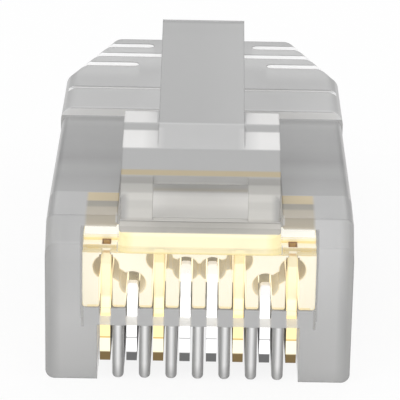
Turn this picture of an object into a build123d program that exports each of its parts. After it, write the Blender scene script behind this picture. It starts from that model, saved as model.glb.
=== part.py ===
"""Modular plug with eight blade contacts, a sprung latch and a moulded wire guide.

Frame: X across the plug, Y from the nose towards the cable, Z up through the latch.
The origin is on the middle plane, at the foot of the nose's front face.
All sizes are in millimetres and all angles in degrees.
"""
import math
import os

from build123d import *

os.makedirs("parts", exist_ok=True)

# Body: a low nose that enters the jack, and a slightly larger rear body with a tapered tail
body_width = 11.68
body_length = 21.1
nose_height = 6.6
nose_length = 11.6
nose_edge_radius = 0.38
bevel_depth = 0.8
bevel_height = 0.86
lead_in_length = 2.0
lead_in_drop = 0.15
rear_rise = 0.35
rear_wing = 0.05
rear_edge_radius = 0.55
floor_edge_radius = 0.35
tail_length = 4.9
tail_end_width = 8.4

# Contact comb at the foot of the nose
contact_count = 8
contact_pitch = 1.02
rib_width = 0.44
rib_round = 0.19
comb_height = 2.25
comb_run_out = 1.65

# Contacts: punched blades, with two tines each that pierce a conductor
blade_thickness = 0.4
blade_front = 0.35
blade_length = 3.6
blade_lift = 0.58
blade_corner_radius = 0.15
neck_setback = 0.7
neck_length = 2.5
tine_width = 0.72
tine_tip = 0.3
tine_shoulder = 0.35
tine_depth = 0.9
tine_round = 0.11
tip_heights = (4.70, 3.48, 4.79, 4.32)
blade_clearance = 0.02

# Wire guide: the insert that holds the conductors over the contacts
guide_wall = 0.4
guide_front = 1.0
guide_length = 7.6
guide_floor = 2.58
guide_top = 5.22
guide_ledge_drops = (0.37, 0.22)
guide_ledge_runs = (0.4, 0.5)
guide_tooth_radius = 0.1
guide_slot_clearance = 0.055
guide_clearance = 0.03
wire_radius = 0.5
wire_heights = (4.24, 3.58, 4.62, 4.22)
wire_links = (0, 2, 3, 4, 6)
wire_link_width = 0.44
sight_notch_width = 0.32
sight_notch_depth = 0.15
sight_hole_depth = 0.2
sight_hole_length = 0.36

# Cable side of the cavity
entry_width = 6.8
entry_height = 5.2
entry_radius = 1.9
funnel_length = 3.0
funnel_setback = 0.8
conductor_space_height = 2.4
conductor_space_inset = 0.3

# Slots across the tail
tail_slot_pitch = 1.32
tail_slot_width = 0.55
tail_slot_end_offset = 0.9
tail_slot_inners = (2.2, 1.6, 2.8)

# Latch at its relaxed angle: legs from the hinge, a wide plate with shoulders, a narrow tab
latch_width = 6.1
hinge_y = 0.7
hinge_z = 5.98
hinge_radius = 0.33
hinge_clearance = 0.04
leg_run = 1.68
leg_rise = 1.75
leg_bend_run = 1.1
leg_bend_rise = 1.0
leg_sag = 0.08
leg_heel = 0.75
leg_corner_radius = 0.3
plate_thickness = 0.52
plate_edge = 0.18
ramp_run = 1.17
ramp_rise = 0.45
tread_run = 1.45
tread_rise = 0.2
step_run = 0.35
step_rise = 0.2
land_run = 1.25
land_rise = 0.03
shoulder_depth = 1.07
tab_width = 3.36
tab_offset = 0.3
tab_lift = 0.19
tab_reach = 7.05
tab_angle = 17.2
tab_thickness = 0.9
tab_end_radius = 0.3
window_width = 3.63

# Latch root block on the nose, and the well under the latch
root_proud = 0.3
root_foot_drop = 0.63
root_top_rise = 0.35
root_chamfer = 0.28
root_corner_radius = 0.36
well_run_out = 0.9
well_side_gap = 0.08

# Small marks of the moulding
line_groove_offset = 2.7
line_groove_width = 0.3
line_groove_depth = 0.1
notch_offset = 2.68
notch_width = 0.85
notch_height = 0.22
notch_depth = 0.25

# Strain relief flap in the floor, on a thin web at its front edge
flap_offset = 1.5
flap_length = 2.9
flap_width = 4.6
flap_setback = 0.275
flap_tooth_rise = 0.5
flap_tooth_run = 0.5
flap_bevel = 0.2
flap_recess = 0.05
flap_gap = 0.35
flap_web = 0.25

# Sizes that follow from the ones above
bevel_top = nose_height - lead_in_drop
rear_height = nose_height + rear_rise
rear_width = body_width + 2 * rear_wing
tail_start = body_length - tail_length
blade_end = blade_front + blade_length
neck_front = blade_front + neck_setback
neck_end = neck_front + neck_length
blade_shoulder = comb_height - blade_clearance
slit_width = blade_thickness + 2 * blade_clearance
comb_length = blade_end + comb_run_out
comb_width = contact_count * contact_pitch - rib_width
guide_width = (contact_count - 1) * contact_pitch + 2 * (wire_radius + guide_wall)
guide_end = guide_front + guide_length
cavity_width = guide_width + 2 * guide_clearance
cavity_floor = guide_floor - guide_clearance
cavity_roof = guide_top + guide_clearance
cavity_middle = (cavity_floor + cavity_roof) / 2
space_width = cavity_width - 2 * conductor_space_inset
funnel_start = guide_end + funnel_setback
funnel_end = funnel_start + funnel_length
entry_middle = rear_height / 2
floor_thickness = (rear_height - entry_height) / 2
flap_thickness = floor_thickness - flap_setback
plate_front = hinge_y + leg_run
plate_front_height = hinge_z + leg_rise
plate_underside = plate_front_height - plate_thickness
tread_y = plate_front + ramp_run
tread_z = plate_front_height + ramp_rise
step_y = tread_y + tread_run
step_z = tread_z + tread_rise
land_y = step_y + step_run
land_z = step_z + step_rise
shoulder_y = land_y + land_run
shoulder_z = land_z + land_rise
tab_y = step_y + tab_offset
tab_z = step_z + tab_lift
tab_sine = math.sin(math.radians(tab_angle))
tab_cosine = math.cos(math.radians(tab_angle))
tab_slope = tab_sine / tab_cosine
root_foot = hinge_z - root_foot_drop
root_top = hinge_z + root_top_rise
well_floor = hinge_z - hinge_radius - hinge_clearance
well_end = shoulder_y + well_run_out
well_width = latch_width + 2 * well_side_gap
flap_start = nose_length + flap_offset
flap_end = flap_start + flap_length


def contact_x(index):
    """Distance of a contact from the middle plane, counted from the left side."""
    return (index - (contact_count - 1) / 2) * contact_pitch


def height_of(index, heights):
    """Height that belongs to a contact: the heights are mirrored about the middle plane."""
    return heights[min(index, contact_count - 1 - index)]


# One rib of the comb, with a rounded foot and a rounded front; it runs into the walls around it
rib_bite = 0.1
with BuildPart() as comb_rib:
    with BuildSketch(Plane.XZ):
        with Locations((0, (comb_height + rib_bite) / 2)):
            Rectangle(rib_width, comb_height + rib_bite)
    extrude(amount=-(comb_length + rib_bite))
    foot_edges = comb_rib.edges().filter_by(Axis.Y).group_by(Axis.Z)[0]
    front_edges = comb_rib.faces().sort_by(Axis.Y)[0].edges().sort_by(Axis.Z)[:-1]
    fillet(foot_edges + front_edges, radius=rib_round)

# Block on the nose that the latch springs from
with BuildPart() as root_block:
    with BuildSketch(Plane.YZ):
        with BuildLine():
            Polyline(
                (-root_proud, root_foot),
                (-root_proud, root_top - root_chamfer),
                (-root_proud + root_chamfer, root_top),
                (hinge_y, root_top),
                (hinge_y, root_foot),
                close=True,
            )
        make_face()
    extrude(amount=latch_width / 2, both=True)
    root_front_edges = root_block.faces().sort_by(Axis.Y)[0].edges().filter_by(Axis.Z)
    fillet(root_front_edges, radius=root_corner_radius)

# Housing
with BuildPart() as housing:
    # nose, from its side profile, with rounded edges along its top
    with BuildSketch(Plane.YZ):
        with BuildLine():
            Polyline(
                (0, 0),
                (0, bevel_top - bevel_height),
                (bevel_depth, bevel_top),
                (bevel_depth + lead_in_length, nose_height),
                (nose_length, nose_height),
                (nose_length, 0),
                close=True,
            )
        make_face()
    extrude(amount=body_width / 2, both=True)
    nose_side_edges = [
        edge
        for edge in housing.edges()
        if abs(edge.center().X) > body_width / 2 - rear_wing
        and edge.center().Z > bevel_top - bevel_height
        and edge.center().Y < nose_length
    ]
    fillet(nose_side_edges, radius=nose_edge_radius)

    # rear body and tapered tail, from their plan
    with BuildSketch(Plane.XY):
        with BuildLine():
            Polyline(
                (-rear_width / 2, nose_length),
                (-rear_width / 2, tail_start),
                (-tail_end_width / 2, body_length),
                (tail_end_width / 2, body_length),
                (rear_width / 2, tail_start),
                (rear_width / 2, nose_length),
                close=True,
            )
        make_face()
    extrude(amount=rear_height)
    for face, radius in (
        (housing.faces().sort_by(Axis.Z)[-1], rear_edge_radius),
        (housing.faces().sort_by(Axis.Z)[0], floor_edge_radius),
    ):
        side_edges = [edge for edge in face.edges() if abs(edge.center().X) > tail_end_width / 4]
        fillet(side_edges, radius=radius)

    # latch root block, the well under the latch, and the rounded seat of the latch's root
    add(root_block.part)
    with BuildSketch(Plane.XY.offset(well_floor)):
        with Locations((0, (hinge_y + well_end) / 2)):
            Rectangle(well_width, well_end - hinge_y)
    extrude(amount=nose_height, mode=Mode.SUBTRACT)
    with BuildSketch(Plane.YZ):
        with Locations((hinge_y, hinge_z)):
            Circle(hinge_radius + hinge_clearance)
    extrude(amount=well_width / 2, both=True, mode=Mode.SUBTRACT)

    # comb: one pocket at the foot of the nose, then its ribs
    with BuildSketch(Plane.XY):
        with Locations((0, comb_length / 2)):
            Rectangle(comb_width, comb_length)
    extrude(amount=comb_height, mode=Mode.SUBTRACT)
    with GridLocations(contact_pitch, 0, contact_count - 1, 1):
        add(comb_rib.part)

    # cavity for the wire guide, and the slits that let the blades reach into it
    with BuildSketch(Plane.XZ.offset(guide_clearance - guide_front)):
        with Locations((0, cavity_middle)):
            Rectangle(cavity_width, cavity_roof - cavity_floor)
    extrude(amount=-(guide_length + guide_clearance), mode=Mode.SUBTRACT)
    with BuildSketch(Plane.XY.offset(cavity_floor)):
        for index in range(contact_count):
            with Locations((contact_x(index), (neck_front + neck_end) / 2)):
                Rectangle(slit_width, neck_length + 2 * blade_clearance)
    extrude(amount=comb_height - cavity_floor, mode=Mode.SUBTRACT)

    # conductor space behind the guide, the funnel and the cable entry
    with BuildSketch(Plane.XZ.offset(-guide_end)):
        with Locations((0, cavity_middle)):
            Rectangle(space_width, conductor_space_height)
    extrude(amount=-funnel_setback, mode=Mode.SUBTRACT)
    with BuildSketch(Plane.XZ.offset(-funnel_start)):
        with Locations((0, cavity_middle)):
            RectangleRounded(space_width, conductor_space_height, conductor_space_inset)
    with BuildSketch(Plane.XZ.offset(-funnel_end)):
        with Locations((0, entry_middle)):
            RectangleRounded(entry_width, entry_height, entry_radius)
    loft(mode=Mode.SUBTRACT)
    with BuildSketch(Plane.XZ.offset(-funnel_end)):
        with Locations((0, entry_middle)):
            RectangleRounded(entry_width, entry_height, entry_radius)
    extrude(amount=funnel_end - body_length, mode=Mode.SUBTRACT)

    # tail slots, from both sides to rounded ends beside the spine
    with BuildSketch(Plane.XY):
        for index, inner in enumerate(tail_slot_inners):
            slot_y = body_length - tail_slot_end_offset - index * tail_slot_pitch
            slot_x = inner + tail_slot_width / 2
            for side in (-1, 1):
                with Locations((side * slot_x, slot_y)):
                    Circle(tail_slot_width / 2)
                with Locations((side * (slot_x + rear_width / 2), slot_y)):
                    Rectangle(rear_width, tail_slot_width)
    extrude(amount=rear_height, mode=Mode.SUBTRACT)

    # line across the rear body's top, and two notches in its step
    with BuildSketch(Plane.XY.offset(rear_height)):
        with Locations((0, nose_length + line_groove_offset)):
            Rectangle(2 * rear_width, line_groove_width)
    extrude(amount=-line_groove_depth, mode=Mode.SUBTRACT)
    with BuildSketch(Plane.XZ.offset(-nose_length)):
        with GridLocations(2 * notch_offset, 0, 2, 1):
            with Locations((0, nose_height + notch_height / 2)):
                Rectangle(notch_width, notch_height)
    extrude(amount=-notch_depth, mode=Mode.SUBTRACT)

    # opening for the strain relief flap, then the flap on its web
    with BuildSketch(Plane.XY):
        with Locations((0, (flap_start + flap_end) / 2)):
            RectangleRounded(flap_width + 2 * flap_gap, flap_length + 2 * flap_gap, flap_gap)
    extrude(amount=floor_thickness, mode=Mode.SUBTRACT)
    with BuildSketch(Plane.YZ):
        with BuildLine():
            Polyline(
                (flap_start - 2 * flap_gap, flap_thickness),
                (flap_start - 2 * flap_gap, flap_thickness - flap_web),
                (flap_start, flap_thickness - flap_web),
                (flap_start + flap_bevel, flap_recess),
                (flap_end - flap_bevel, flap_recess),
                (flap_end, flap_recess + flap_bevel),
                (flap_end, flap_thickness + flap_tooth_rise),
                (flap_end - flap_tooth_run, flap_thickness + flap_tooth_rise),
                (flap_start + flap_tooth_run, flap_thickness),
                close=True,
            )
        make_face()
    extrude(amount=flap_width / 2, both=True)
housing.part.label = "housing"
export_step(housing.part, "parts/housing.step")

# Latch
with BuildPart() as latch:
    # legs and plate, from the side profile that both share
    with BuildSketch(Plane.YZ):
        with BuildLine():
            leg_front = SagittaArc(
                (hinge_y, hinge_z + hinge_radius),
                (hinge_y + leg_bend_run, hinge_z + leg_bend_rise),
                leg_sag,
            )
            Polyline(
                leg_front @ 1,
                (plate_front - plate_edge, plate_front_height - plate_edge),
                (plate_front, plate_front_height),
                (tread_y, tread_z),
                (step_y, step_z),
                (land_y, land_z),
                (shoulder_y, shoulder_z),
                (shoulder_y, shoulder_z - shoulder_depth),
                (plate_front + plate_edge, plate_underside),
                (hinge_y + leg_heel, hinge_z),
                (hinge_y, hinge_z - hinge_radius),
                leg_front @ 0,
            )
        make_face()
    extrude(amount=latch_width / 2, both=True)
    leg_edges = [
        edge
        for edge in latch.edges()
        if abs(edge.center().X) > latch_width / 2 - plate_edge
        and hinge_y < edge.center().Y < hinge_y + leg_bend_run
        and edge.center().Z > hinge_z + hinge_radius
    ]
    fillet(leg_edges, radius=leg_corner_radius)
    with BuildSketch(Plane.YZ):
        with Locations((hinge_y, hinge_z)):
            Circle(hinge_radius)
    extrude(amount=latch_width / 2, both=True)

    # window between the legs
    with BuildSketch(Plane.YZ):
        with BuildLine():
            Polyline(
                (hinge_y + hinge_radius, well_floor),
                (hinge_y + hinge_radius, hinge_z + hinge_radius),
                (hinge_y - hinge_radius, hinge_z + hinge_radius),
                (hinge_y - hinge_radius, shoulder_z),
                (plate_front - plate_edge, shoulder_z),
                (plate_front - plate_edge, plate_underside),
                (plate_front + plate_edge, plate_underside),
                (plate_front + plate_edge, well_floor),
                close=True,
            )
        make_face()
    extrude(amount=window_width / 2, both=True, mode=Mode.SUBTRACT)

    # ramp and tab, from their side profile
    with BuildSketch(Plane.YZ):
        with BuildLine():
            tab_end = (tab_y + tab_reach, tab_z + tab_reach * tab_slope)
            tab_foot_y = shoulder_y - shoulder_depth / 2
            tab_foot = (tab_foot_y, tab_z + (tab_foot_y - tab_y) * tab_slope - tab_thickness / tab_cosine)
            Polyline(
                (tread_y, tread_z),
                (tab_y, tab_z),
                tab_end,
                (tab_end[0] + tab_thickness * tab_sine, tab_end[1] - tab_thickness * tab_cosine),
                tab_foot,
                close=True,
            )
        make_face()
    extrude(amount=tab_width / 2, both=True)
    tab_end_edge = latch.edges().filter_by(Axis.X).sort_by(Axis.Z)[-1]
    fillet(tab_end_edge, radius=tab_end_radius)
latch.part.label = "latch"
export_step(latch.part, "parts/latch.step")

# Wire guide
with BuildPart() as wire_guide:
    # block with two ledges along the front of its top
    ledge_ends = (guide_front + guide_ledge_runs[0], guide_front + sum(guide_ledge_runs))
    ledge_heights = (guide_top - guide_ledge_drops[0], guide_top - guide_ledge_drops[1])
    with BuildSketch(Plane.YZ):
        with BuildLine():
            Polyline(
                (guide_front, guide_floor),
                (guide_front, ledge_heights[0]),
                (ledge_ends[0], ledge_heights[0]),
                (ledge_ends[0], ledge_heights[1]),
                (ledge_ends[1], ledge_heights[1]),
                (ledge_ends[1], guide_top),
                (guide_end, guide_top),
                (guide_end, guide_floor),
                close=True,
            )
        make_face()
    extrude(amount=guide_width / 2, both=True)

    # wire channels, linked into two side groups of two and a middle group of four
    with BuildSketch(Plane.XZ):
        for index in range(contact_count):
            with Locations((contact_x(index), height_of(index, wire_heights))):
                Circle(wire_radius)
        for index in wire_links:
            rise = height_of(index + 1, wire_heights) - height_of(index, wire_heights)
            link_x = (contact_x(index) + contact_x(index + 1)) / 2
            link_z = height_of(index, wire_heights) + rise / 2
            link_angle = math.degrees(math.atan2(rise, contact_pitch))
            with Locations((link_x, link_z)):
                Rectangle(math.hypot(contact_pitch, rise), wire_link_width, rotation=link_angle)
    extrude(amount=-guide_end, mode=Mode.SUBTRACT)

    # slots for the blades, open at the front and the floor, with rounded teeth between them
    for index in range(contact_count):
        slot_end = neck_end + guide_slot_clearance
        with BuildSketch(Plane.XY.offset(guide_floor)):
            with Locations((contact_x(index), slot_end / 2)):
                Rectangle(blade_thickness + 2 * guide_slot_clearance, slot_end)
        extrude(
            amount=height_of(index, tip_heights) + guide_slot_clearance - guide_floor,
            mode=Mode.SUBTRACT,
        )
    tooth_edges = wire_guide.edges().filter_by(Axis.Y).group_by(Axis.Z)[0]
    fillet(tooth_edges, radius=guide_tooth_radius)

    # notch and sight hole in the ledges above each outer contact
    with BuildSketch(Plane.XY.offset(ledge_heights[0])):
        with GridLocations((contact_count - 1) * contact_pitch, 0, 2, 1):
            with Locations((0, ledge_ends[0] / 2)):
                Rectangle(sight_notch_width, ledge_ends[0])
    extrude(amount=-sight_notch_depth, mode=Mode.SUBTRACT)
    with BuildSketch(Plane.XY.offset(ledge_heights[1])):
        with GridLocations((contact_count - 1) * contact_pitch, 0, 2, 1):
            with Locations((0, (ledge_ends[0] + ledge_ends[1]) / 2)):
                Rectangle(sight_notch_width, sight_hole_length)
    extrude(amount=-sight_hole_depth, mode=Mode.SUBTRACT)
wire_guide.part.label = "wire_guide"
export_step(wire_guide.part, "parts/wire_guide.step")

# Contacts: the same blade, with tines that reach the height of their own conductor
for index in range(contact_count):
    tip = height_of(index, tip_heights)
    with BuildPart() as contact:
        with BuildSketch(Plane.YZ.offset(contact_x(index))):
            with BuildLine():
                Polyline(
                    (blade_front, blade_lift),
                    (blade_front, blade_shoulder),
                    (neck_front, blade_shoulder),
                    (neck_front, tip - tine_shoulder),
                    (neck_front + (tine_width - tine_tip) / 2, tip),
                    (neck_front + (tine_width + tine_tip) / 2, tip),
                    (neck_front + tine_width, tip - tine_depth),
                    (neck_end - tine_width, tip - tine_depth),
                    (neck_end - (tine_width + tine_tip) / 2, tip),
                    (neck_end - (tine_width - tine_tip) / 2, tip),
                    (neck_end, tip - tine_shoulder),
                    (neck_end, blade_shoulder),
                    (blade_end, blade_shoulder),
                    (blade_end, blade_lift),
                    close=True,
                )
            make_face()
        extrude(amount=blade_thickness / 2, both=True)
        fillet(contact.edges().filter_by(Axis.X).group_by(Axis.Z)[0], radius=blade_corner_radius)
        fillet(contact.edges().filter_by(Axis.Y).group_by(Axis.Z)[-1], radius=tine_round)
    contact.part.label = f"contact_{index + 1}"
    export_step(contact.part, f"parts/contact_{index + 1}.step")
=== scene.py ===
# %% [markdown]
# # A clear modular plug, dressed for its portrait
# The construction comes from a packed CAD model and never moves. This notebook gives each piece its finish:
# a frosted clear shell, a latch of the same plastic, a pale yellow wire guide inside and eight plated contacts.
# Everything is in metres, in the frame of that model: X across the plug, Y from the nose towards the cable, Z up.

# %% Load the fixed frame
import math

import bpy
from mathutils import Matrix, Vector

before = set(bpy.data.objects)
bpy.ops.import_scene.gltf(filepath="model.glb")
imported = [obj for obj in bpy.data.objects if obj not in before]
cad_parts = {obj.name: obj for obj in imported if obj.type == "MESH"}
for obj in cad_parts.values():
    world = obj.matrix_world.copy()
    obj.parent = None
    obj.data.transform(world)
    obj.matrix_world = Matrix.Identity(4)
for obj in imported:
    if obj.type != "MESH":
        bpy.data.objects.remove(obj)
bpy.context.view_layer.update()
MM = 0.001
print("pieces:", sorted(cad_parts))

# %% [markdown]
# ## Camera
# The portrait looks at the nose from a little above. The nose is nearer than the tail, and the tail looks
# smaller, so the lens has to match as well as the angle: the width of the nose against the width of the rear
# body gives the distance, and the width of the nose in the picture then gives the lens. Blender could aim a
# camera with a Track To constraint. Three axes built by hand do the same, and leave a slot for the small roll.

# %% Camera at the portrait's angle
CAMERA_DISTANCE = 95 * MM
CAMERA_TILT = math.radians(21.3)
CAMERA_ROLL = math.radians(1.0)
HALF_PICTURE, LENS_LENGTH = 200, 2541  # both in pixels of the 400 x 400 portrait
LENS_ANGLE = 2 * math.atan(HALF_PICTURE / LENS_LENGTH)
AIM = Vector((-0.02, 0, 7.44)) * MM
NEAREST_SEEN = 1 * MM

lens = bpy.data.cameras.new("portrait_camera")
lens.angle = LENS_ANGLE
lens.clip_start = NEAREST_SEEN
camera = bpy.data.objects.new("portrait_camera", lens)
bpy.context.collection.objects.link(camera)
backwards = Vector((0, -math.cos(CAMERA_TILT), math.sin(CAMERA_TILT)))
sideways = Vector((1, 0, 0))
upwards = backwards.cross(sideways)
turn = Matrix((sideways, upwards, backwards)).transposed().to_4x4()
stand = Matrix.Translation(AIM + backwards * CAMERA_DISTANCE)
camera.matrix_world = stand @ turn @ Matrix.Rotation(CAMERA_ROLL, 4, "Z")
bpy.context.scene.camera = camera
print("lens angle", round(math.degrees(LENS_ANGLE), 2), "degrees")

# %% [markdown]
# ## Shader maths as plain expressions
# A shader is a formula made of small nodes. Wired one by one, the formula can't be read any more. So one class
# wraps a socket, and Python's own operators add the Math nodes: `1 - mask` makes a Subtract node. `above` and
# `between` are the two masks that everything below is made of: a soft step up, and a soft step up and down.

# %% A socket that understands + - * /
class Wire:
    def __init__(self, recipe, socket):
        self.recipe, self.socket = recipe, socket

    def math(self, operation, *others, flip=False):
        values = [self, *others]
        if flip:
            values.reverse()
        return self.recipe.node("ShaderNodeMath", {"operation": operation}, dict(enumerate(values)))

    def __add__(self, other):
        return self.math("ADD", other)

    def __sub__(self, other):
        return self.math("SUBTRACT", other)

    def __rsub__(self, other):
        return self.math("SUBTRACT", other, flip=True)

    def __mul__(self, other):
        return self.math("MULTIPLY", other)

    def __truediv__(self, other):
        return self.math("DIVIDE", other)

    __radd__ = __add__
    __rmul__ = __mul__

    def clamp(self):
        return self.recipe.node("ShaderNodeClamp", {}, {0: self})

    def above(self, low, fade):
        """0 below a value and 1 above it, with a soft step at it."""
        return ((self - low) / fade + 0.5).clamp()

    def between(self, low, high, fade):
        """1 between two values and 0 outside them. An end that is None stays open."""
        if low is None:
            return 1 - self.above(high, fade)
        if high is None:
            return self.above(low, fade)
        return self.above(low, fade) * (1 - self.above(high, fade))

    def wave(self, pitch):
        """Distance to the middle between two whole steps of a pitch, in the units of the pitch."""
        return ((self / pitch).math("FRACT") - 0.5).math("ABSOLUTE") * pitch


print("operators on a socket:", [name for name in vars(Wire) if name.startswith("__") and name != "__init__"][:7])

# %% [markdown]
# ## One recipe per material
# Every finish here depends on where on the plug a point lies: each face of a clear moulding shows what is
# behind it, and the light and shade that fall on each face are painted into its colour by place. The `Object`
# coordinates are the plug's own frame, since every piece of the packed model sits at the origin. Divided by one
# millimetre, they read like the drawing.

# %% A material and the nodes that cook it
BEVEL_SAMPLES = 6


class Recipe:
    def __init__(self, name, **constants):
        self.material = bpy.data.materials.new(name)
        self.material.use_nodes = True
        self.tree = self.material.node_tree
        self.shader = self.tree.nodes["Principled BSDF"]
        for socket_name, value in constants.items():
            self.shader.inputs[socket_name.replace("_", " ")].default_value = value

    def node(self, kind, settings, sockets, output=0):
        """Any node, from its type, its settings, and the values or links of its sockets."""
        made = self.tree.nodes.new(kind)
        for name, value in settings.items():
            if name == "stops":
                for element, (place, colour) in zip(self.elements(made, len(value)), value):
                    element.position, element.color = place, colour
            else:
                setattr(made, name, value)
        for key, value in sockets.items():
            if isinstance(value, Wire):
                self.tree.links.new(value.socket, made.inputs[key])
            else:
                made.inputs[key].default_value = value
        return Wire(self, made.outputs[output])

    def elements(self, ramp, count):
        stops = ramp.color_ramp.elements
        while len(stops) < count:
            stops.new(1)
        return stops

    def here(self):
        return self.node("ShaderNodeTexCoord", {}, {}, output="Object")

    def parts(self, vector):
        """The three numbers of a vector, as three wires."""
        return [self.node("ShaderNodeSeparateXYZ", {}, {0: vector}, output=axis) for axis in range(3)]

    def place(self):
        """Where a point is in the plug's own frame, in millimetres."""
        return [part / MM for part in self.parts(self.here())]

    def facing(self):
        """Which way the surface faces, in the plug's own frame."""
        return self.parts(self.node("ShaderNodeTexCoord", {}, {}, output="Normal"))

    def noise(self, scale, detail=2.0):
        return self.node("ShaderNodeTexNoise", {}, {"Vector": self.here(), "Scale": scale, "Detail": detail})

    def mix(self, factor, first, second):
        """A colour between two colours."""
        return self.node("ShaderNodeMix", {"data_type": "RGBA"}, {"Factor": factor, 6: first, 7: second}, output=2)

    def grade(self, along, stops):
        """Colours along a distance. Each stop is a place on it and the colour there."""
        low, high = stops[0][0], stops[-1][0]
        places = [((place - low) / (high - low), colour) for place, colour in stops]
        return self.node("ShaderNodeValToRGB", {"stops": places}, {0: (along - low) / (high - low)})

    def feed(self, **wires):
        for socket_name, wire in wires.items():
            self.tree.links.new(wire.socket, self.shader.inputs[socket_name.replace("_", " ")])

    def rounded(self, width):
        """The direction that the surface would have if its edges were rounded."""
        return self.node("ShaderNodeBevel", {"samples": BEVEL_SAMPLES}, {"Radius": width}, output="Normal")

    def bump(self, height, distance, strength, **more):
        """Fine relief in the shading alone: no mesh moves."""
        sockets = {"Height": height, "Distance": distance, "Strength": strength, **more}
        self.feed(Normal=self.node("ShaderNodeBump", {}, sockets, output="Normal"))


def grey(level, tint=(1, 1, 1)):
    """A grey, or a grey that leans towards a tint."""
    return tuple(level * part for part in tint) + (1,)


print("a warm grey:", grey(0.5, (1, 0.97, 0.9)))

# %% [markdown]
# ## Floor and backdrop
# A piece this small is photographed on a sheet of white card. One large flat face just under the plug is
# enough: a curved backdrop would only matter if its bend came into view. The card has a fine paper grain, so it
# isn't a dead flat colour. Seen by the camera or in a reflection, most of it is the plain white of the
# background, and the rest is lit card, so that the soft shadow under the plug stays.

# %% White card under the plug
CARD_SIZE = 600 * MM
CARD_DROP = 0.02 * MM
CARD_GLOW = 0.88
PAPER_GRAIN = 900
PAPER_TONES = grey(0.80), grey(0.84)
PAPER_ROUGHNESS = 0.9


def seen_directly(recipe):
    """1 for rays from the camera and for reflections, 0 for the light that falls on the plug."""
    camera_ray = recipe.node("ShaderNodeLightPath", {}, {}, output="Is Camera Ray")
    glossy_ray = recipe.node("ShaderNodeLightPath", {}, {}, output="Is Glossy Ray")
    return camera_ray.math("MAXIMUM", glossy_ray)


half_card = CARD_SIZE / 2
corner_signs = (-1, -1), (1, -1), (1, 1), (-1, 1)
card_corners = [(side * half_card, end * half_card, -CARD_DROP) for side, end in corner_signs]
card_mesh = bpy.data.meshes.new("card")
card_mesh.from_pydata(card_corners, [], [(0, 1, 2, 3)])
card = bpy.data.objects.new("card", card_mesh)
bpy.context.collection.objects.link(card)

paper = Recipe("white_card", Roughness=PAPER_ROUGHNESS)
paper.feed(Base_Color=paper.mix(paper.noise(PAPER_GRAIN), *PAPER_TONES))
plain_white = paper.node("ShaderNodeEmission", {}, {"Color": grey(1), "Strength": 1.0})
lit_paper = Wire(paper, paper.shader.outputs[0])
card_face = paper.node(
    "ShaderNodeMixShader", {}, {0: seen_directly(paper) * CARD_GLOW, 1: lit_paper, 2: plain_white}
)
paper.tree.links.new(card_face.socket, paper.tree.nodes["Material Output"].inputs["Surface"])
card_mesh.materials.append(paper.material)
print("card:", round(CARD_SIZE / MM), "mm wide,", round(CARD_DROP / MM, 3), "mm under the plug")

# %% [markdown]
# ## Light
# Small clear things are lit from all round, or they turn black. The world gives most of the light, evenly, as a
# white tent would. Three soft boxes add the direction: the largest from the left front and above, a weak one
# from the right to open the shadows, and one from behind that draws the edges of the latch. The camera sees the
# world as plain white, and the light that reaches the plug is weaker, so that colours come out as written.

# %% A white tent and three soft boxes
TENT_LIGHT = 0.62
TENT_SEEN = 1.0
LAMP_TARGET = Vector((0, 10, 4)) * MM

scene = bpy.context.scene
scene.view_settings.view_transform = "Standard"
tent = bpy.data.worlds.new("white_tent")
scene.world = tent
tent.use_nodes = True
tent_wall = tent.node_tree.nodes["Background"]
tent_wall.inputs["Color"].default_value = grey(1)
ray = tent.node_tree.nodes.new("ShaderNodeLightPath")
level = tent.node_tree.nodes.new("ShaderNodeMix")
level.inputs["A"].default_value = TENT_LIGHT
level.inputs["B"].default_value = TENT_SEEN
tent.node_tree.links.new(ray.outputs["Is Camera Ray"], level.inputs["Factor"])
tent.node_tree.links.new(level.outputs["Result"], tent_wall.inputs["Strength"])


def softbox(name, place_mm, size_mm, watts):
    lamp_data = bpy.data.lights.new(name, "AREA")
    lamp_data.shape = "RECTANGLE"
    lamp_data.size, lamp_data.size_y = (edge * MM for edge in size_mm)
    lamp_data.energy = watts
    lamp = bpy.data.objects.new(name, lamp_data)
    bpy.context.collection.objects.link(lamp)
    lamp.location = Vector(place_mm) * MM
    lamp.rotation_euler = (LAMP_TARGET - lamp.location).to_track_quat("-Z", "Y").to_euler()
    print(name, watts, "W at", round((LAMP_TARGET - lamp.location).length / MM), "mm")


softbox("key_light", place_mm=(-100, -100, 160), size_mm=(120, 120), watts=0.16)
softbox("fill_light", place_mm=(140, -40, 100), size_mm=(100, 100), watts=0.06)
softbox("back_light", place_mm=(0, 160, 120), size_mm=(140, 80), watts=0.12)

# %% [markdown]
# ## Frosted clear plastic
# The real shell is polycarbonate from a mould with a matt finish. Light goes in everywhere and comes out
# everywhere, so each face glows in its own grey, and only smooth walls with something close behind them are
# really clear. A glass shader with refraction would need a clean path of light through a dozen thin walls, and
# it would show noise instead. So here the plastic is a soft glossy surface whose tone and clearness follow
# the place on the plug: the light and shade of each face, and its glow, are painted into its tone. Clearness
# is Alpha. Light rays meet a lower Alpha than the camera does, so the inside of the plug stays bright, as it is
# in a piece that passes light on. A mould also leaves no edge quite sharp. The Bevel node rounds them in the
# shading alone, so the packed mesh stays as it is.

# %% The frosted plastic, before any place has its own tone
LET_THROUGH = 0.6
SHEEN = 0.2
PLASTIC_IOR = 1.5
CLOUD_SIZE, CLOUD_DETAIL = 260, 3
CLOUD_TONES = 0.94, 1.06
BODY_ALPHA, BODY_DRIFT = 0.86, 0.04
FROST, FROST_DRIFT = 0.30, 0.1
POLISH_SPOTS = 1200
MATT_GRAIN = 2400
GRAIN_DEPTH = 0.004 * MM
GRAIN_STRENGTH = 0.3
EDGE_ROUND = 0.08 * MM


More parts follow.
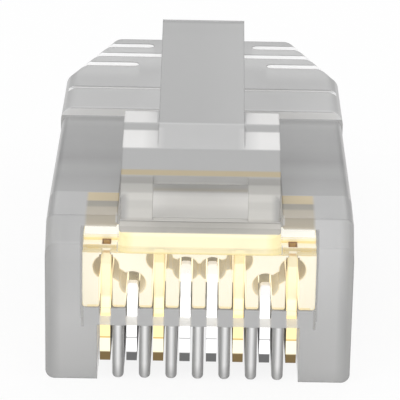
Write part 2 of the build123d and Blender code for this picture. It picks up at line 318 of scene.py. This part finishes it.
class Moulding(Recipe):
    """A moulded piece, whose tone and glow change from place to place: painted light, shade and glow."""

    def __init__(self, name, pale, paler, glow=grey(0), **constants):
        super().__init__(name, Emission_Color=glow, Emission_Strength=1.0, **constants)
        self.x, self.y, self.z = self.place()
        self.side = self.x.math("ABSOLUTE")
        self.clouds = self.noise(CLOUD_SIZE, CLOUD_DETAIL)
        self.colour = self.mix(self.clouds, pale, paler)
        self.glow = glow

    def zone(self, fade=0.1, **ranges):
        """1 inside a box given as ranges in millimetres, 0 outside it."""
        masks = [getattr(self, axis).between(low, high, fade) for axis, (low, high) in ranges.items()]
        return math.prod(masks[1:], start=masks[0])

    def paint(self, mask, colour):
        self.colour = self.mix(mask, self.colour, colour)

    # Painted glow: Emission where the mask is 1, though the piece is no lamp.
    def light_up(self, mask, colour):
        self.glow = self.mix(mask, self.glow, colour)
        self.feed(Emission_Color=self.glow)


class Plastic(Moulding):
    """Frosted clear plastic, which also has its own clearness at each place."""

    def __init__(self, name, level):
        tones = [grey(level * part) for part in CLOUD_TONES]
        super().__init__(name, *tones, IOR=PLASTIC_IOR, Specular_IOR_Level=SHEEN)
        self.body = self.clouds * BODY_DRIFT + BODY_ALPHA

    def thin(self, mask, alpha):
        """Makes the wall as clear as an alpha where the mask is 1."""
        self.body = self.body - mask * (self.body - alpha)

    def finish(self):
        """Feeds the shader with what was painted and thinned."""
        shadow_ray = self.node("ShaderNodeLightPath", {}, {}, output="Is Shadow Ray")
        diffuse_ray = self.node("ShaderNodeLightPath", {}, {}, output="Is Diffuse Ray")
        light_ray = shadow_ray.math("MAXIMUM", diffuse_ray)
        self.feed(
            Base_Color=self.colour,
            Alpha=self.body * (1 - LET_THROUGH * light_ray),
            Roughness=FROST + FROST_DRIFT * self.noise(POLISH_SPOTS),
        )
        self.bump(self.noise(MATT_GRAIN), GRAIN_DEPTH, GRAIN_STRENGTH, Normal=self.rounded(EDGE_ROUND))
        print(self.material.name, "has", len(self.tree.nodes), "nodes")


shell = Plastic("frosted_shell", level=0.48)

# %% [markdown]
# ### The nose
# The nose is the part that enters the jack. Its front blocks, left and right of the wire guide, are thick and
# the palest grey, with painted shade at the foot and towards the outer edge. The right block has painted light
# towards its top, so each of the two has a ramp of its own, and the bevel above them is paler on the right.
# The outer corners get painted shade. The nose's top is darker, by painted shade, over the hollow inside.
# Between the two lies a short lead-in slope in painted shade, with a bevel before it. The places are written in
# millimetres of the drawing, low end first. `zone` makes a box mask of them, and a colour ramp holds the tones
# of a face from its one end to the other.

# %% Painted light and shade of the nose
# Painted light and shade up each front block: darker at the foot, and the right block paler towards its top.
LEFT_BLOCK_SHADING = [
    (0, grey(0.47)), (0.6, grey(0.51)), (2.6, grey(0.57)), (3.6, grey(0.55)), (4.8, grey(0.54)), (5.3, grey(0.56)),
]
RIGHT_BLOCK_SHADING = [
    (0, grey(0.46)), (0.6, grey(0.51)), (2.6, grey(0.55)), (3.6, grey(0.59)), (5.0, grey(0.64)), (5.6, grey(0.66)),
]
# Painted light and shade: the bevel paler on the right, painted shade on the outer corners and the lead-in slope.
BEVEL_SHADING = grey(0.48), grey(0.58)
OUTER_CORNER_SHADE = grey(0.40)
SLOPE_SHADE, SLOPE_ALPHA = grey(0.33), 0.96
# Painted shade along the nose's top, darkest in its middle.
NOSE_TOP_SHADING = [
    (2.8, grey(0.29)), (3.3, grey(0.285)), (4.5, grey(0.26)), (5.3, grey(0.28)), (5.7, grey(0.275)),
    (6.6, grey(0.23)), (7.9, grey(0.26)), (9.0, grey(0.265)), (10.3, grey(0.28)), (11.3, grey(0.34)),
]
NOSE_TOP_ALPHA = 0.95

left_or_right = shell.x.above(0, 1.0)
block_shading = [shell.grade(shell.z, tones) for tones in (LEFT_BLOCK_SHADING, RIGHT_BLOCK_SHADING)]
front_blocks = shell.zone(y=(None, 1.2), z=(None, 5.65), fade=0.3)
shell.paint(front_blocks, shell.mix(left_or_right, *block_shading))
top_bevel = shell.zone(y=(0.05, 0.8), z=(5.6, None))
shell.paint(top_bevel, shell.mix(left_or_right, *BEVEL_SHADING))
outer_corners = shell.zone(y=(None, 0.9), side=(5.45, None), fade=0.4)
shell.paint(outer_corners, OUTER_CORNER_SHADE)
lead_in = shell.zone(y=(0.8, 2.8), z=(6.3, None))
shell.paint(lead_in, SLOPE_SHADE)
shell.thin(lead_in, SLOPE_ALPHA)
nose_top = shell.zone(y=(2.8, 11.5), z=(6.5, None))
shell.paint(nose_top, shell.grade(shell.y, NOSE_TOP_SHADING))
shell.thin(nose_top, NOSE_TOP_ALPHA)
print("nose:", len(NOSE_TOP_SHADING), "tones along its top,", len(LEFT_BLOCK_SHADING), "up each front block")

# %% [markdown]
# ### Painted tan light beside the latch
# On the real plug the yellow guide and the gold contacts shine up through the lead-in slope, left and right of
# the latch. Here that light is painted: from above it reads as a beige bevel, a painted dark line of shade, and
# a tan band. One ramp along Y holds them all, within the width that lies over the guide.

# %% Painted tan light
OVER_GUIDE = (3.02, 4.33)
# Painted light from the guide and contacts, with a painted dark line of shade from 1.6 to 2.0 mm.
LEAD_IN_LIGHT_TONES = [
    (0.2, (0.52, 0.46, 0.36, 1)), (0.75, (0.42, 0.38, 0.31, 1)), (0.85, (0.34, 0.30, 0.24, 1)),
    (1.45, (0.31, 0.275, 0.21, 1)), (1.62, (0.21, 0.195, 0.155, 1)), (2.0, (0.20, 0.185, 0.15, 1)),
    (2.10, (0.41, 0.33, 0.19, 1)), (2.75, (0.43, 0.345, 0.20, 1)),
]
tan_light_bands = shell.zone(y=(0.2, 2.78), z=(5.95, None), fade=0.06) * shell.zone(side=OVER_GUIDE, fade=0.12)
shell.paint(tan_light_bands, shell.grade(shell.y, LEAD_IN_LIGHT_TONES))
print("tan bands:", round(OVER_GUIDE[1] - OVER_GUIDE[0], 2), "mm wide on each side")

# %% [markdown]
# ### Rear body, line groove and tail slots
# The rear body stands a little higher than the nose, with a painted highlight on the step where they meet. A
# shallow groove runs across it, and the tail has three slots on each side, so that it can flex with the cable.
# Each pair of slots ends at its own distance from the middle. A groove or slot in clear plastic collects light
# along its walls, which is why it shows white; here that light is painted on the walls. Painting the walls alone
# would still leave them in their own shade, so their top edge also has a painted glow, by Emission. Deeper down
# the walls get only a paler grey of painted light.

# %% Tones of the rear body
REAR_TONES = [
    (11.8, grey(0.43)), (14.0, grey(0.42)), (14.6, grey(0.40)), (15.6, grey(0.39)), (17.2, grey(0.39)),
    (19.4, grey(0.41)), (21.0, grey(0.39)),
]
# Painted highlights on the step and in the groove, and painted light on the slot walls.
STEP_HIGHLIGHT = grey(0.80)
GROOVE_HIGHLIGHT = grey(0.82)
SLOT_PLACES = (17.56, 18.88, 20.2)
SLOT_INNER_ENDS = (2.75, 1.55, 2.15)
SLOT_HALF = 0.31
SLOT_TOP = 6.92
SLOT_GLOW_FROM = 6.5
SLOT_DEEP_LIGHT, SLOT_TOP_HIGHLIGHT, SLOT_TOP_GLOW = grey(0.60), grey(0.82), grey(0.30)

rear_top = shell.zone(y=(11.8, None), z=(6.8, None), fade=0.05)
shell.paint(rear_top, shell.grade(shell.y, REAR_TONES))
step_wall = shell.zone(y=(11.55, 11.65), z=(6.62, 6.93), fade=0.02)
shell.paint(step_wall, STEP_HIGHLIGHT)
groove_walls = shell.zone(y=(14.1, 14.5), z=(6.80, 6.92), fade=0.02)
shell.paint(groove_walls, GROOVE_HIGHLIGHT)
slot_bands = [
    shell.zone(y=(slot_y - SLOT_HALF, slot_y + SLOT_HALF), side=(inner, None), fade=0.05)
    for slot_y, inner in zip(SLOT_PLACES, SLOT_INNER_ENDS)
]
slots = sum(slot_bands[1:], start=slot_bands[0]) * shell.zone(z=(None, SLOT_TOP), fade=0.02)
shell.paint(slots, SLOT_DEEP_LIGHT)
slot_tops = slots * shell.zone(z=(SLOT_GLOW_FROM, None), fade=0.3)
shell.paint(slot_tops, SLOT_TOP_HIGHLIGHT)
shell.light_up(slot_tops, SLOT_TOP_GLOW)
print("tail slots at", SLOT_PLACES, "mm, white from", SLOT_INNER_ENDS, "mm outwards")

# %% [markdown]
# ### The well under the latch
# The latch bends down into a shallow well on top of the nose. Its floor is seen through the window between the
# latch's legs, with a painted shadow just under the plate's edge, painted light further forward, and tan again
# where the floor thins out above the guide. A colour ramp along Y holds those tones in one line. The walls
# beside the legs' feet get a warm painted light and a little painted glow, which lift their shade.

# %% Floor of the well
WARM = (1, 0.985, 0.955)
WELL_TAN = (0.50, 0.43, 0.32, 1)
# Painted shade and light along the floor: a painted shadow near 5.7 mm, under the plate's edge, painted light near
# 4.5 mm.
WELL_SHADING = [
    (1.0, grey(0.60, WARM)), (2.1, grey(0.58, WARM)), (2.3, WELL_TAN), (2.55, WELL_TAN),
    (2.8, grey(0.58, WARM)), (3.5, grey(0.66, WARM)), (4.2, grey(0.79, WARM)), (5.0, grey(0.76, WARM)),
    (5.3, grey(0.66, WARM)), (5.55, grey(0.54, WARM)), (5.75, (0.44, 0.41, 0.35, 1)), (6.1, grey(0.43, WARM)),
    (6.7, grey(0.46)), (7.6, grey(0.50)),
]
WELL_GLOW = grey(0.07, WARM)
# Painted warm light on the walls beside the legs' feet.
FOOT_WALL_LIGHT = grey(0.50, WARM)
FOOT_WALL_GLOW_SHARE = 0.6

well = shell.zone(y=(0.8, 7.6), z=(5.5, 5.8), side=(None, 3.14))
shell.paint(well, shell.grade(shell.y, WELL_SHADING))
beside_legs = shell.zone(y=(0.6, 2.5), z=(5.55, 6.45), side=(3.0, 3.2), fade=0.05)
shell.paint(beside_legs, FOOT_WALL_LIGHT)
lit_floor = well * shell.zone(y=(None, 5.5))
shell.light_up((lit_floor + FOOT_WALL_GLOW_SHARE * beside_legs).clamp(), WELL_GLOW)
print("well:", len(WELL_SHADING), "tones between", WELL_SHADING[0][0], "and", WELL_SHADING[-1][0], "mm")

# %% [markdown]
# ### The block that the latch springs from
# A small block stands proud of the nose, as wide as the latch. It lies right in front of the yellow guide, so it
# takes the guide's colour, painted on it: pale in the middle, with painted deeper yellow light at both ends and
# along the lower edge, where the light leaves it. It has a painted glow, like every thin edge of a piece that
# passes light on.

# %% Pale yellow root block
# The guide's colour painted on the block, with painted light at its ends and foot, and a painted glow.
PALE_YELLOW = (0.98, 0.91, 0.64, 1)
EXIT_LIGHT_YELLOW = (0.94, 0.80, 0.40, 1)
ROOT_GLOW = (0.17, 0.15, 0.09, 1)
ROOT_END_SHARE = 0.7
WARMER = (1, 0.965, 0.895)
ROOT_TOP_TONES = [
    (0, grey(0.405, WARMER)), (1.4, grey(0.43, WARMER)), (2.2, grey(0.49, WARMER)), (3.1, grey(0.52, WARMER)),
]

root_top = shell.zone(y=(None, 0.75), z=(6.1, 6.40), side=(None, 3.10), fade=0.05)
shell.paint(root_top, shell.grade(shell.side, ROOT_TOP_TONES))
root = shell.zone(y=(None, 0.1), z=(5.30, 6.16), side=(None, 3.08), fade=0.04)
shell.paint(root, PALE_YELLOW)
root_ends = root * shell.zone(side=(2.62, None), fade=0.3)
root_foot = root * shell.zone(z=(None, 5.42), fade=0.05)
shell.paint((root_ends * ROOT_END_SHARE + root_foot).clamp(), EXIT_LIGHT_YELLOW)
shell.light_up(root, ROOT_GLOW)
print("root block:", len(ROOT_TOP_TONES), "tones across its top")

# %% [markdown]
# ### Clear walls over the wire guide
# The front of the nose is one thin wall with the guide right behind it. There the plastic is all but invisible,
# so its Alpha drops to a trace that keeps the gloss. The wall's lower strip, between the guide and the comb, is
# solid grey, apart from a clear stripe in front of each contact. `wave` makes those stripes: it folds X into
# one pitch of the contacts, so one mask serves all eight. The sides let a trace of the guide show as well, and
# so do the walls of the hollow beside it.

# %% Clear front wall
CONTACT_PITCH = 1.02
STRIPE_HALF = 0.215
SLIT_MARGIN = 0.02
STRIP_TONE = grey(0.52)
SOLID = 0.96
OUTER_SIDE_ALPHA = 0.66
ROOT_FRONT_ALPHA = 0.62
HOLLOW_SIDE_ALPHA = 0.35
TRACE = 0.05

front_wall = shell.zone(y=(None, 2.9), side=(None, 4.5), fade=0.06)
beside_root = shell.zone(side=(3.12, None), z=(2.55, 6.12), fade=0.05)
behind_root = shell.zone(y=(0.05, 2.4), side=(None, 3.16), z=(2.55, 6.16), fade=0.06)
below_root = shell.zone(y=(None, 0.05), side=(None, 3.16), z=(2.55, 5.30), fade=0.06)
for clear_part in (beside_root, behind_root, below_root):
    shell.thin(front_wall * clear_part, TRACE)
shell.thin(root, SOLID)
shell.thin(root * shell.zone(z=(None, 5.62), fade=0.08), ROOT_FRONT_ALPHA)
outer_side = shell.zone(side=(5.76, None), fade=0.06) * shell.zone(y=(1.6, 9.5), z=(1.4, 5.6), fade=1.8)
shell.thin(outer_side, OUTER_SIDE_ALPHA)
hollow_side = shell.zone(side=(4.44, 4.56), y=(1.1, 8.7), z=(2.6, 5.2), fade=0.05)
shell.thin(hollow_side, HOLLOW_SIDE_ALPHA)
strip = shell.zone(y=(None, 0.05), side=(None, 4.46), z=(2.2, 2.97), fade=0.04)
stripes = strip * (1 - shell.x.wave(CONTACT_PITCH).above(STRIPE_HALF, 0.04))
shell.paint(strip, STRIP_TONE)
shell.thin(strip, SOLID)
slit_wall = shell.zone(y=(0.9, 1.12), z=(2.2, 3.0), side=(None, 4.5), fade=0.04)
near_slit = 1 - shell.x.wave(CONTACT_PITCH).above(STRIPE_HALF + SLIT_MARGIN, 0.03)
shell.thin((stripes + slit_wall * near_slit).clamp(), TRACE)
print("stripes:", 2 * STRIPE_HALF, "mm wide, one to each", CONTACT_PITCH, "mm")

# %% [markdown]
# ### Ribs of the comb
# Nine walls of the comb keep the contacts apart. Each is a clear rib with a rounded front, and a rounded clear
# rib works like a rod of glass: a painted highlight down its middle and painted shade on its flanks. That depends
# only on how far the surface has turned to the side, so the tone follows the X part of the surface's own
# direction. Towards their feet the ribs get painted shade. The two walls that end the comb would lie in the dark
# beside the outer contacts. They pass light on too, so they get painted light: a pale tone and some glow.

# %% Painted highlight in the middle, painted shade on the flanks
# Painted highlight and shade across each rib, painted shade at its foot, painted light on the comb's end walls.
RIB_HIGHLIGHT_TONES = [(0.0, grey(0.97)), (0.2, grey(0.74)), (0.5, grey(0.43)), (0.85, grey(0.34)), (1.0, grey(0.50))]
RIB_FOOT_SHADE, RIB_FOOT_SHARE = grey(0.28), 0.5
COMB_END_LIGHT, COMB_END_GLOW = grey(0.75), grey(0.22)

turned = shell.facing()[0].math("ABSOLUTE")
comb = shell.zone(y=(None, 5.6), z=(None, 2.24), side=(None, 3.78), fade=0.05)
shell.paint(comb, shell.grade(turned, RIB_HIGHLIGHT_TONES))
rib_feet = comb * shell.zone(y=(None, 0.3), z=(None, 0.45), fade=0.4)
shell.paint(rib_feet * RIB_FOOT_SHARE, RIB_FOOT_SHADE)
comb_ends = shell.zone(y=(0.14, 5.6), z=(None, 2.24), side=(3.76, 3.9), fade=0.04)
shell.paint(comb_ends, COMB_END_LIGHT)
shell.light_up(comb_ends, COMB_END_GLOW)
shell.finish()

# %% [markdown]
# ## The latch
# The latch is of the same plastic as the shell, and moulded with it. Two legs rise from the block on the nose
# to a wide plate with shoulders that lock in the jack, and a narrow tab runs on from the plate to be pressed.
# Faces that lie flat get painted light from above and are nearly white. The ramp and the middle of the plate get
# painted shade, and the ramp and the tab stay grey. The legs run through warm and pale bands as they pass over
# the guide, which shows through them: painted light and shade in one ramp of tones along Z, with painted shade
# on their outer flanks.

# %% Painted light and shade of the latch
LEG_WARM = (1, 0.98, 0.93)
# Painted light and shade in bands up the legs, where the guide shows through.
LEG_LIGHT_BANDS = [
    (6.30, grey(0.50, LEG_WARM)), (6.40, grey(0.62, LEG_WARM)), (6.58, grey(0.62, LEG_WARM)),
    (6.68, grey(0.57, LEG_WARM)), (6.80, grey(0.57, LEG_WARM)), (6.87, grey(0.64, LEG_WARM)),
    (6.97, grey(0.63, LEG_WARM)), (7.03, grey(0.50, LEG_WARM)), (7.26, grey(0.46, LEG_WARM)),
    (7.32, grey(0.35, LEG_WARM)), (7.56, grey(0.35, LEG_WARM)),
]
# Painted shade on the legs' outer flanks, on the ramp and in the middle of the plate.
LEG_FLANK_SHADE = grey(0.46, WARM)
LIP_TAN = (0.49, 0.41, 0.27, 1)
RAMP_SHADE = grey(0.41)
MIDDLE_SHADE = grey(0.44)

latch_skin = Plastic("frosted_latch", level=0.50)
legs = latch_skin.zone(y=(None, 2.2))
latch_skin.paint(legs, latch_skin.grade(latch_skin.z, LEG_LIGHT_BANDS))
leg_flanks = legs * latch_skin.zone(side=(2.78, None), z=(None, 6.95), fade=0.2)
latch_skin.paint(leg_flanks, LEG_FLANK_SHADE)
plate_lip = latch_skin.zone(y=(1.9, 2.40), z=(7.56, 7.8), fade=0.05)
latch_skin.paint(plate_lip, LIP_TAN)
ramp = latch_skin.zone(y=(2.38, 3.52), z=(7.6, None), fade=0.08)
latch_skin.paint(ramp, RAMP_SHADE)
plate_top = latch_skin.zone(y=(3.55, 5.3), z=(8.0, None))
latch_skin.paint(plate_top, MIDDLE_SHADE)
print("legs:", len(LEG_LIGHT_BANDS), "tones between", LEG_LIGHT_BANDS[0][0], "and", LEG_LIGHT_BANDS[-1][0], "mm up")

# %% [markdown]
# ### Plate and tab
# The plate has two level treads with a small step between them, both with painted light. In the middle the
# tab's foot crosses them, and the painted light fades towards it. A mask with a wide fade makes that, where the
# others have sharp edges. The tab itself is plain: a slight drift of tone across it, painted shade on its
# rounded end, and a fine light line at its foot. The latch's own root lies inside the clear block and shows as
# a trace, like the wall in front of it.

# %% Tones of the plate and the tab
# Painted light on the two level treads.
LIT_TREAD = grey(0.66, (1, 0.99, 0.98))
LIT_LAND = grey(0.64, (1, 0.99, 0.98))
TAB_HALF = 1.75
TAB_TONES = [(-1.7, grey(0.40)), (0.0, grey(0.405)), (1.7, grey(0.43))]
# Painted shade on the tab's rounded end.
TAB_END_SHADE = grey(0.335)
TAB_FOOT_TONE = grey(0.50)

beside_tab = latch_skin.zone(side=(1.85, None), fade=0.9)
latch_skin.paint(latch_skin.zone(y=(3.55, 5.0), z=(8.0, None)) * beside_tab, LIT_TREAD)
latch_skin.paint(latch_skin.zone(y=(5.35, 6.6), z=(8.3, None)) * beside_tab, LIT_LAND)
on_tab = latch_skin.zone(y=(5.3, None), side=(None, TAB_HALF), fade=0.05)
latch_skin.paint(on_tab, latch_skin.grade(latch_skin.x, TAB_TONES))
latch_skin.paint(on_tab * latch_skin.zone(y=(11.95, None), fade=0.1), TAB_END_SHADE)
tab_foot = latch_skin.zone(y=(5.26, 5.36), side=(None, TAB_HALF), z=(8.3, None), fade=0.03)
latch_skin.paint(tab_foot, TAB_FOOT_TONE)
inside_root = latch_skin.zone(y=(None, 1.8), z=(5.0, 6.16), fade=0.06)
latch_skin.thin(inside_root, TRACE)
latch_skin.finish()

# %% [markdown]
# ## The wire guide
# The guide is the pale yellow insert that spreads eight wires over the contacts. Its faces are nearly white, and
# its edges are deep yellow: light that travels inside a tinted piece leaves it there, and has crossed the most
# plastic. Blender's Bevel node finds such edges by itself. It gives the direction that a rounded edge would
# have, and where that differs from the true direction of the face, there is an edge. The whole guide has a
# painted glow, by Emission. The channels look duller than the face, by painted shade, because less light
# reaches them.

# %% Pale faces, deep yellow edges
FACE_PALE = (1.0, 0.93, 0.74, 1)
FACE_PALER = (1.0, 0.95, 0.80, 1)
EDGE_YELLOW = (0.93, 0.72, 0.24, 1)
EDGE_WIDTH = 0.08 * MM
EDGE_GAIN = 6.0
# Painted glow over the whole guide.
FACE_GLOW = (0.27, 0.245, 0.19, 1)
GUIDE_ROUGHNESS = 0.35

guide = Moulding("guide_moulding", FACE_PALE, FACE_PALER, glow=FACE_GLOW, Roughness=GUIDE_ROUGHNESS)
rounded = guide.rounded(EDGE_WIDTH)
true_normal = guide.node("ShaderNodeNewGeometry", {}, {}, output="Normal")
agreement = guide.node(
    "ShaderNodeVectorMath", {"operation": "DOT_PRODUCT"}, {0: rounded, 1: true_normal}, output="Value"
)
edges = ((1 - agreement) * EDGE_GAIN).clamp()
print("edges:", round(EDGE_WIDTH / MM, 2), "mm wide")

# %% [markdown]
# ### Channels, slots and ledges
# A face that looks forwards is the guide's front; one that looks sideways or up belongs to a channel. So the
# channels' mask comes from the surface's direction, within the height of the channels, and the channels get
# painted shade and a little painted glow. The walls of the narrow slots beside the blades are lit through the
# thin teeth, and hardly show at all: they get the tone of the face and more painted glow, up to where the
# channels begin. The two middle slots also show their lit back wall behind the tip of the blade, by a painted
# glow. The ledges along the top have painted light and shade in bands, one tone to a step, and two of them have
# a painted glow. The guide's foot has a faint yellow edge, broken where a blade passes.

# %% Channels, slots and ledges
# Painted shade down the channels, and painted light and shade in bands along the ledges.
CHANNEL_SHADING = [(2.7, (0.80, 0.73, 0.58, 1)), (4.0, (0.72, 0.66, 0.52, 1)), (5.1, (0.56, 0.51, 0.41, 1))]
CHANNEL_GLOW = (0.16, 0.145, 0.112, 1)
SLOT_GLOW = (0.74, 0.68, 0.52, 1)
SLOT_WALL = 0.30
TIP_HALF = 0.18
SIDEWAYS_FROM = 0.85
FOOT_EDGE_TOP, FOOT_EDGE_SHARE = 2.67, 0.6
LEDGE_LIGHT_BANDS = [
    ((1.85, 2.9), (5.17, None), (1.0, 0.99, 0.93, 1)),
    ((1.85, 1.95), (5.09, 5.18), (1.0, 0.92, 0.62, 1)),
    ((1.85, None), (4.99, 5.09), (1.0, 0.80, 0.28, 1)),
    ((1.38, 1.86), (4.98, 5.03), (1.0, 0.94, 0.76, 1)),
    ((1.36, 1.44), (4.86, 4.99), (0.80, 0.67, 0.40, 1)),
    ((0.90, 1.38), (4.83, 4.88), (0.88, 0.76, 0.48, 1)),
]
LEDGE_TOP_GLOW = (0.36, 0.35, 0.30, 1)
LEDGE_LOW_GLOW = (0.12, 0.10, 0.05, 1)

across, along, _ = guide.facing()
looks_forward = along.math("ABSOLUTE")
looks_sideways = across.math("ABSOLUTE").above(SIDEWAYS_FROM, 0.1)
channels = (1 - looks_forward).above(0.5, 0.2) * guide.zone(z=(2.7, 4.82), side=(None, 4.3), fade=0.02)
near_blade = 1 - guide.x.wave(CONTACT_PITCH).above(SLOT_WALL, 0.04)
in_channel = guide.zone(z=(3.92, None), fade=0.05) + guide.zone(side=(2.2, 2.9), z=(3.5, None), fade=0.05)
slot_walls = looks_sideways * near_blade * guide.zone(y=(None, 3.8)) * (1 - in_channel).clamp()
behind_blade = 1 - guide.x.wave(CONTACT_PITCH).above(TIP_HALF, 0.03)
slot_tips = behind_blade * guide.zone(side=(None, 0.9), z=(None, 5.1), fade=0.05)
slot_backs = guide.zone(y=(3.3, 3.75)) * (near_blade * (1 - in_channel).clamp() + slot_tips).clamp()
channels = channels * (1 - slot_walls)
guide.paint(channels, guide.grade(guide.z, CHANNEL_SHADING))
guide.light_up(channels, CHANNEL_GLOW)
guide.light_up((slot_walls + slot_backs).clamp(), SLOT_GLOW)
guide.light_up(guide.zone(y=(1.85, 2.9), z=(5.17, None), fade=0.02), LEDGE_TOP_GLOW)
guide.light_up(guide.zone(y=(0.9, 1.44), z=(4.84, 4.97), fade=0.02), LEDGE_LOW_GLOW)
for y_range, z_range, tone in LEDGE_LIGHT_BANDS:
    guide.paint(guide.zone(y=y_range, z=z_range, fade=0.02), tone)
slot_edges = near_blade * guide.zone(z=(2.75, 5.0), fade=0.1)
guide.paint(edges * (1 - (slot_walls + slot_edges).clamp()), EDGE_YELLOW)
foot_edge = guide.zone(y=(None, 1.3), z=(None, FOOT_EDGE_TOP), fade=0.03) * (1 - near_blade)
guide.paint(foot_edge * FOOT_EDGE_SHARE, EDGE_YELLOW)
print("guide:", len(LEDGE_LIGHT_BANDS), "ledge bands,", len(CHANNEL_SHADING), "channel tones")

# %% [markdown]
# ### Sight holes
# Over each outer contact a small hole shows the blade in its slot, as a dark red-brown dot, the blade in painted
# shade, with a darker rim of painted shade. Two box masks, one inside the other, make the dot and its rim. The
# notch in front of it is plain grey. The rim and the notch get a faint painted glow.

# %% Sight holes
SIGHT_SIDE = 3.57
SIGHT_HALF = 0.17
SIGHT_RIM = 0.05
# The blade in painted shade, and a painted shade rim round it.
SIGHT_BROWN = (0.74, 0.47, 0.16, 1)
SIGHT_RIM_SHADE = (0.30, 0.10, 0.02, 1)
SIGHT_GLOW = (0.04, 0.03, 0.01, 1)
NOTCH_TONE = grey(0.55, (1, 0.97, 0.88))
GUIDE_GRAIN = 1800


def sight_mask(shrink, y_low, y_high, z_low, z_high):
    """One box on each side of the plug; a positive shrink draws its ends in."""
    row = guide.side.between(SIGHT_SIDE - SIGHT_HALF + shrink, SIGHT_SIDE + SIGHT_HALF - shrink, 0.05)
    return row * guide.zone(y=(y_low, y_high), z=(z_low, z_high), fade=0.02)


sight_rim = sight_mask(0, 1.45, 2.0, 4.70, 5.04)
sight_hole = sight_mask(SIGHT_RIM, 1.50, 2.0, 4.70, 5.0)
sight_notch = sight_mask(-0.01, 0.5, 1.38, 4.69, 4.84)
guide.paint(sight_notch, NOTCH_TONE)
guide.paint(sight_rim, SIGHT_RIM_SHADE)
guide.paint(sight_hole, SIGHT_BROWN)
guide.light_up((sight_rim + sight_notch).clamp(), SIGHT_GLOW)
guide.feed(Base_Color=guide.colour)
guide.bump(guide.noise(GUIDE_GRAIN), GRAIN_DEPTH, GRAIN_STRENGTH, Normal=guide.rounded(EDGE_ROUND))
print("guide has", len(guide.tree.nodes), "nodes")

# %% [markdown]
# ## The contacts
# Eight thin blades stand in the comb. Four are gold plated and four are bright plated, as the guide's pairs need
# them. Each shows its narrow front edge: deeper in colour at the top, nearly white in the middle, a painted
# reflection of the card, and dark at its rounded foot, by painted shade. A fine darker line crosses it above
# the foot. Inside the guide only the tines show, darkened by painted shade. A metal mirrors what is round it,
# and here most of that is other plastic, so the plating also gets a little painted light of its own, and most
# of it right under the guide. Only the faces that look forwards or up get it: from its sides it would light
# the walls of the guide's slots.

# %% Plating by height on the blade
NECK_FROM = 2.3
NECK_SIDE = 0.15
FOOT_LINE = 1.60
CAP_HEIGHT = 1.0
LINE_HALF = 0.03
WEAR, WEAR_SPOTS = 0.93, 1500
PLATE_ROUGHNESS, ROUGHNESS_DRIFT, ROUGHNESS_SPOTS = 0.24, 0.12, 3000
NECK_SIDE_SHARE = 0.6
GLOW_SHARE = 0.4
UNDER_GUIDE, UNDER_GUIDE_SHARE = (2.2, 3.0), 0.7


def plated(name, neck, plate, foot, cap, tines, line, glow):
    """A plated blade: a colour each for its neck, upper front, foot (a painted reflection), rounded cap and hidden
    tines (both painted shade) and fine line.
    """
    metal = Recipe(name, Metallic=1.0, Emission_Strength=glow)
    across, depth, height = metal.place()
    worn = tuple(WEAR * part for part in plate[:3]) + (1,)
    is_foot = 1 - height.above(FOOT_LINE, 0.04)
    is_cap = 1 - height.above(CAP_HEIGHT, 0.06)
    is_line = height.between(FOOT_LINE - LINE_HALF, FOOT_LINE + LINE_HALF, 0.02)
    is_tine = depth.above(1.9, 0.3) * height.above(2.6, 0.2)
    is_neck = height.above(NECK_FROM, 0.1)
    is_neck_side = across.wave(CONTACT_PITCH).above(NECK_SIDE, 0.04)
    neck_tone = metal.mix(NECK_SIDE_SHARE * is_neck_side, neck, plate)
    colour = metal.mix(is_neck, metal.mix(metal.noise(WEAR_SPOTS), worn, plate), neck_tone)
    # Painted reflection of the card on the foot; painted shade on the hidden tines and on the rounded cap.
    colour = metal.mix(is_foot, colour, foot)
    colour = metal.mix(is_line, colour, line)
    colour = metal.mix(is_tine, colour, tines)
    colour = metal.mix(is_cap, colour, cap)
    roughness = PLATE_ROUGHNESS + ROUGHNESS_DRIFT * metal.noise(ROUGHNESS_SPOTS)
    metal.feed(Base_Color=colour, Roughness=roughness)
    # Painted glow on the faces that look forwards or up, most of it right under the guide.
    under_guide = UNDER_GUIDE_SHARE * height.between(*UNDER_GUIDE, 0.1)
    glow_colour = metal.mix(under_guide, metal.mix(GLOW_SHARE, grey(0), colour), colour)
    _, backwards, upwards = metal.facing()
    faces_viewer = (upwards - backwards).above(0.4, 0.3)
    unlit = (is_cap + is_tine + (1 - faces_viewer)).clamp()
    metal.feed(Emission_Color=metal.mix(unlit, glow_colour, grey(0)))
    print(name, "has", len(metal.tree.nodes), "nodes")
    return metal


gold = plated(
    "gold_plate", neck=(1.0, 0.89, 0.60, 1), plate=(1.0, 0.84, 0.45, 1), foot=(1.0, 0.92, 0.68, 1),
    cap=(0.24, 0.17, 0.08, 1), tines=(0.55, 0.48, 0.36, 1), line=(0.62, 0.44, 0.16, 1), glow=0.9,
)
silver = plated(
    "silver_plate", neck=grey(0.97), plate=grey(0.95), foot=grey(0.99), cap=grey(0.18),
    tines=(0.50, 0.48, 0.44, 1), line=grey(0.45), glow=1.0,
)

# %% [markdown]
# ## Dress the nodes
# The packed pieces arrive with a plain material each. Their shapes are right, so they stay, and only the
# material slot changes. Contacts 1, 3, 6 and 8 are the gold ones.

# %% Every node gets its finish
GOLD_CONTACTS = (1, 3, 6, 8)
CONTACT_COUNT = 8

finishes = {"housing": shell, "latch": latch_skin, "wire_guide": guide}
for number in range(1, CONTACT_COUNT + 1):
    finishes[f"contact_{number}"] = gold if number in GOLD_CONTACTS else silver
for name, recipe in finishes.items():
    slots_of_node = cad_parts[name].data.materials
    slots_of_node.clear()
    slots_of_node.append(recipe.material)
    print(name, "wears", recipe.material.name)

# %% [markdown]
# ## Size
# Nothing was added to the plug outside its drawing.
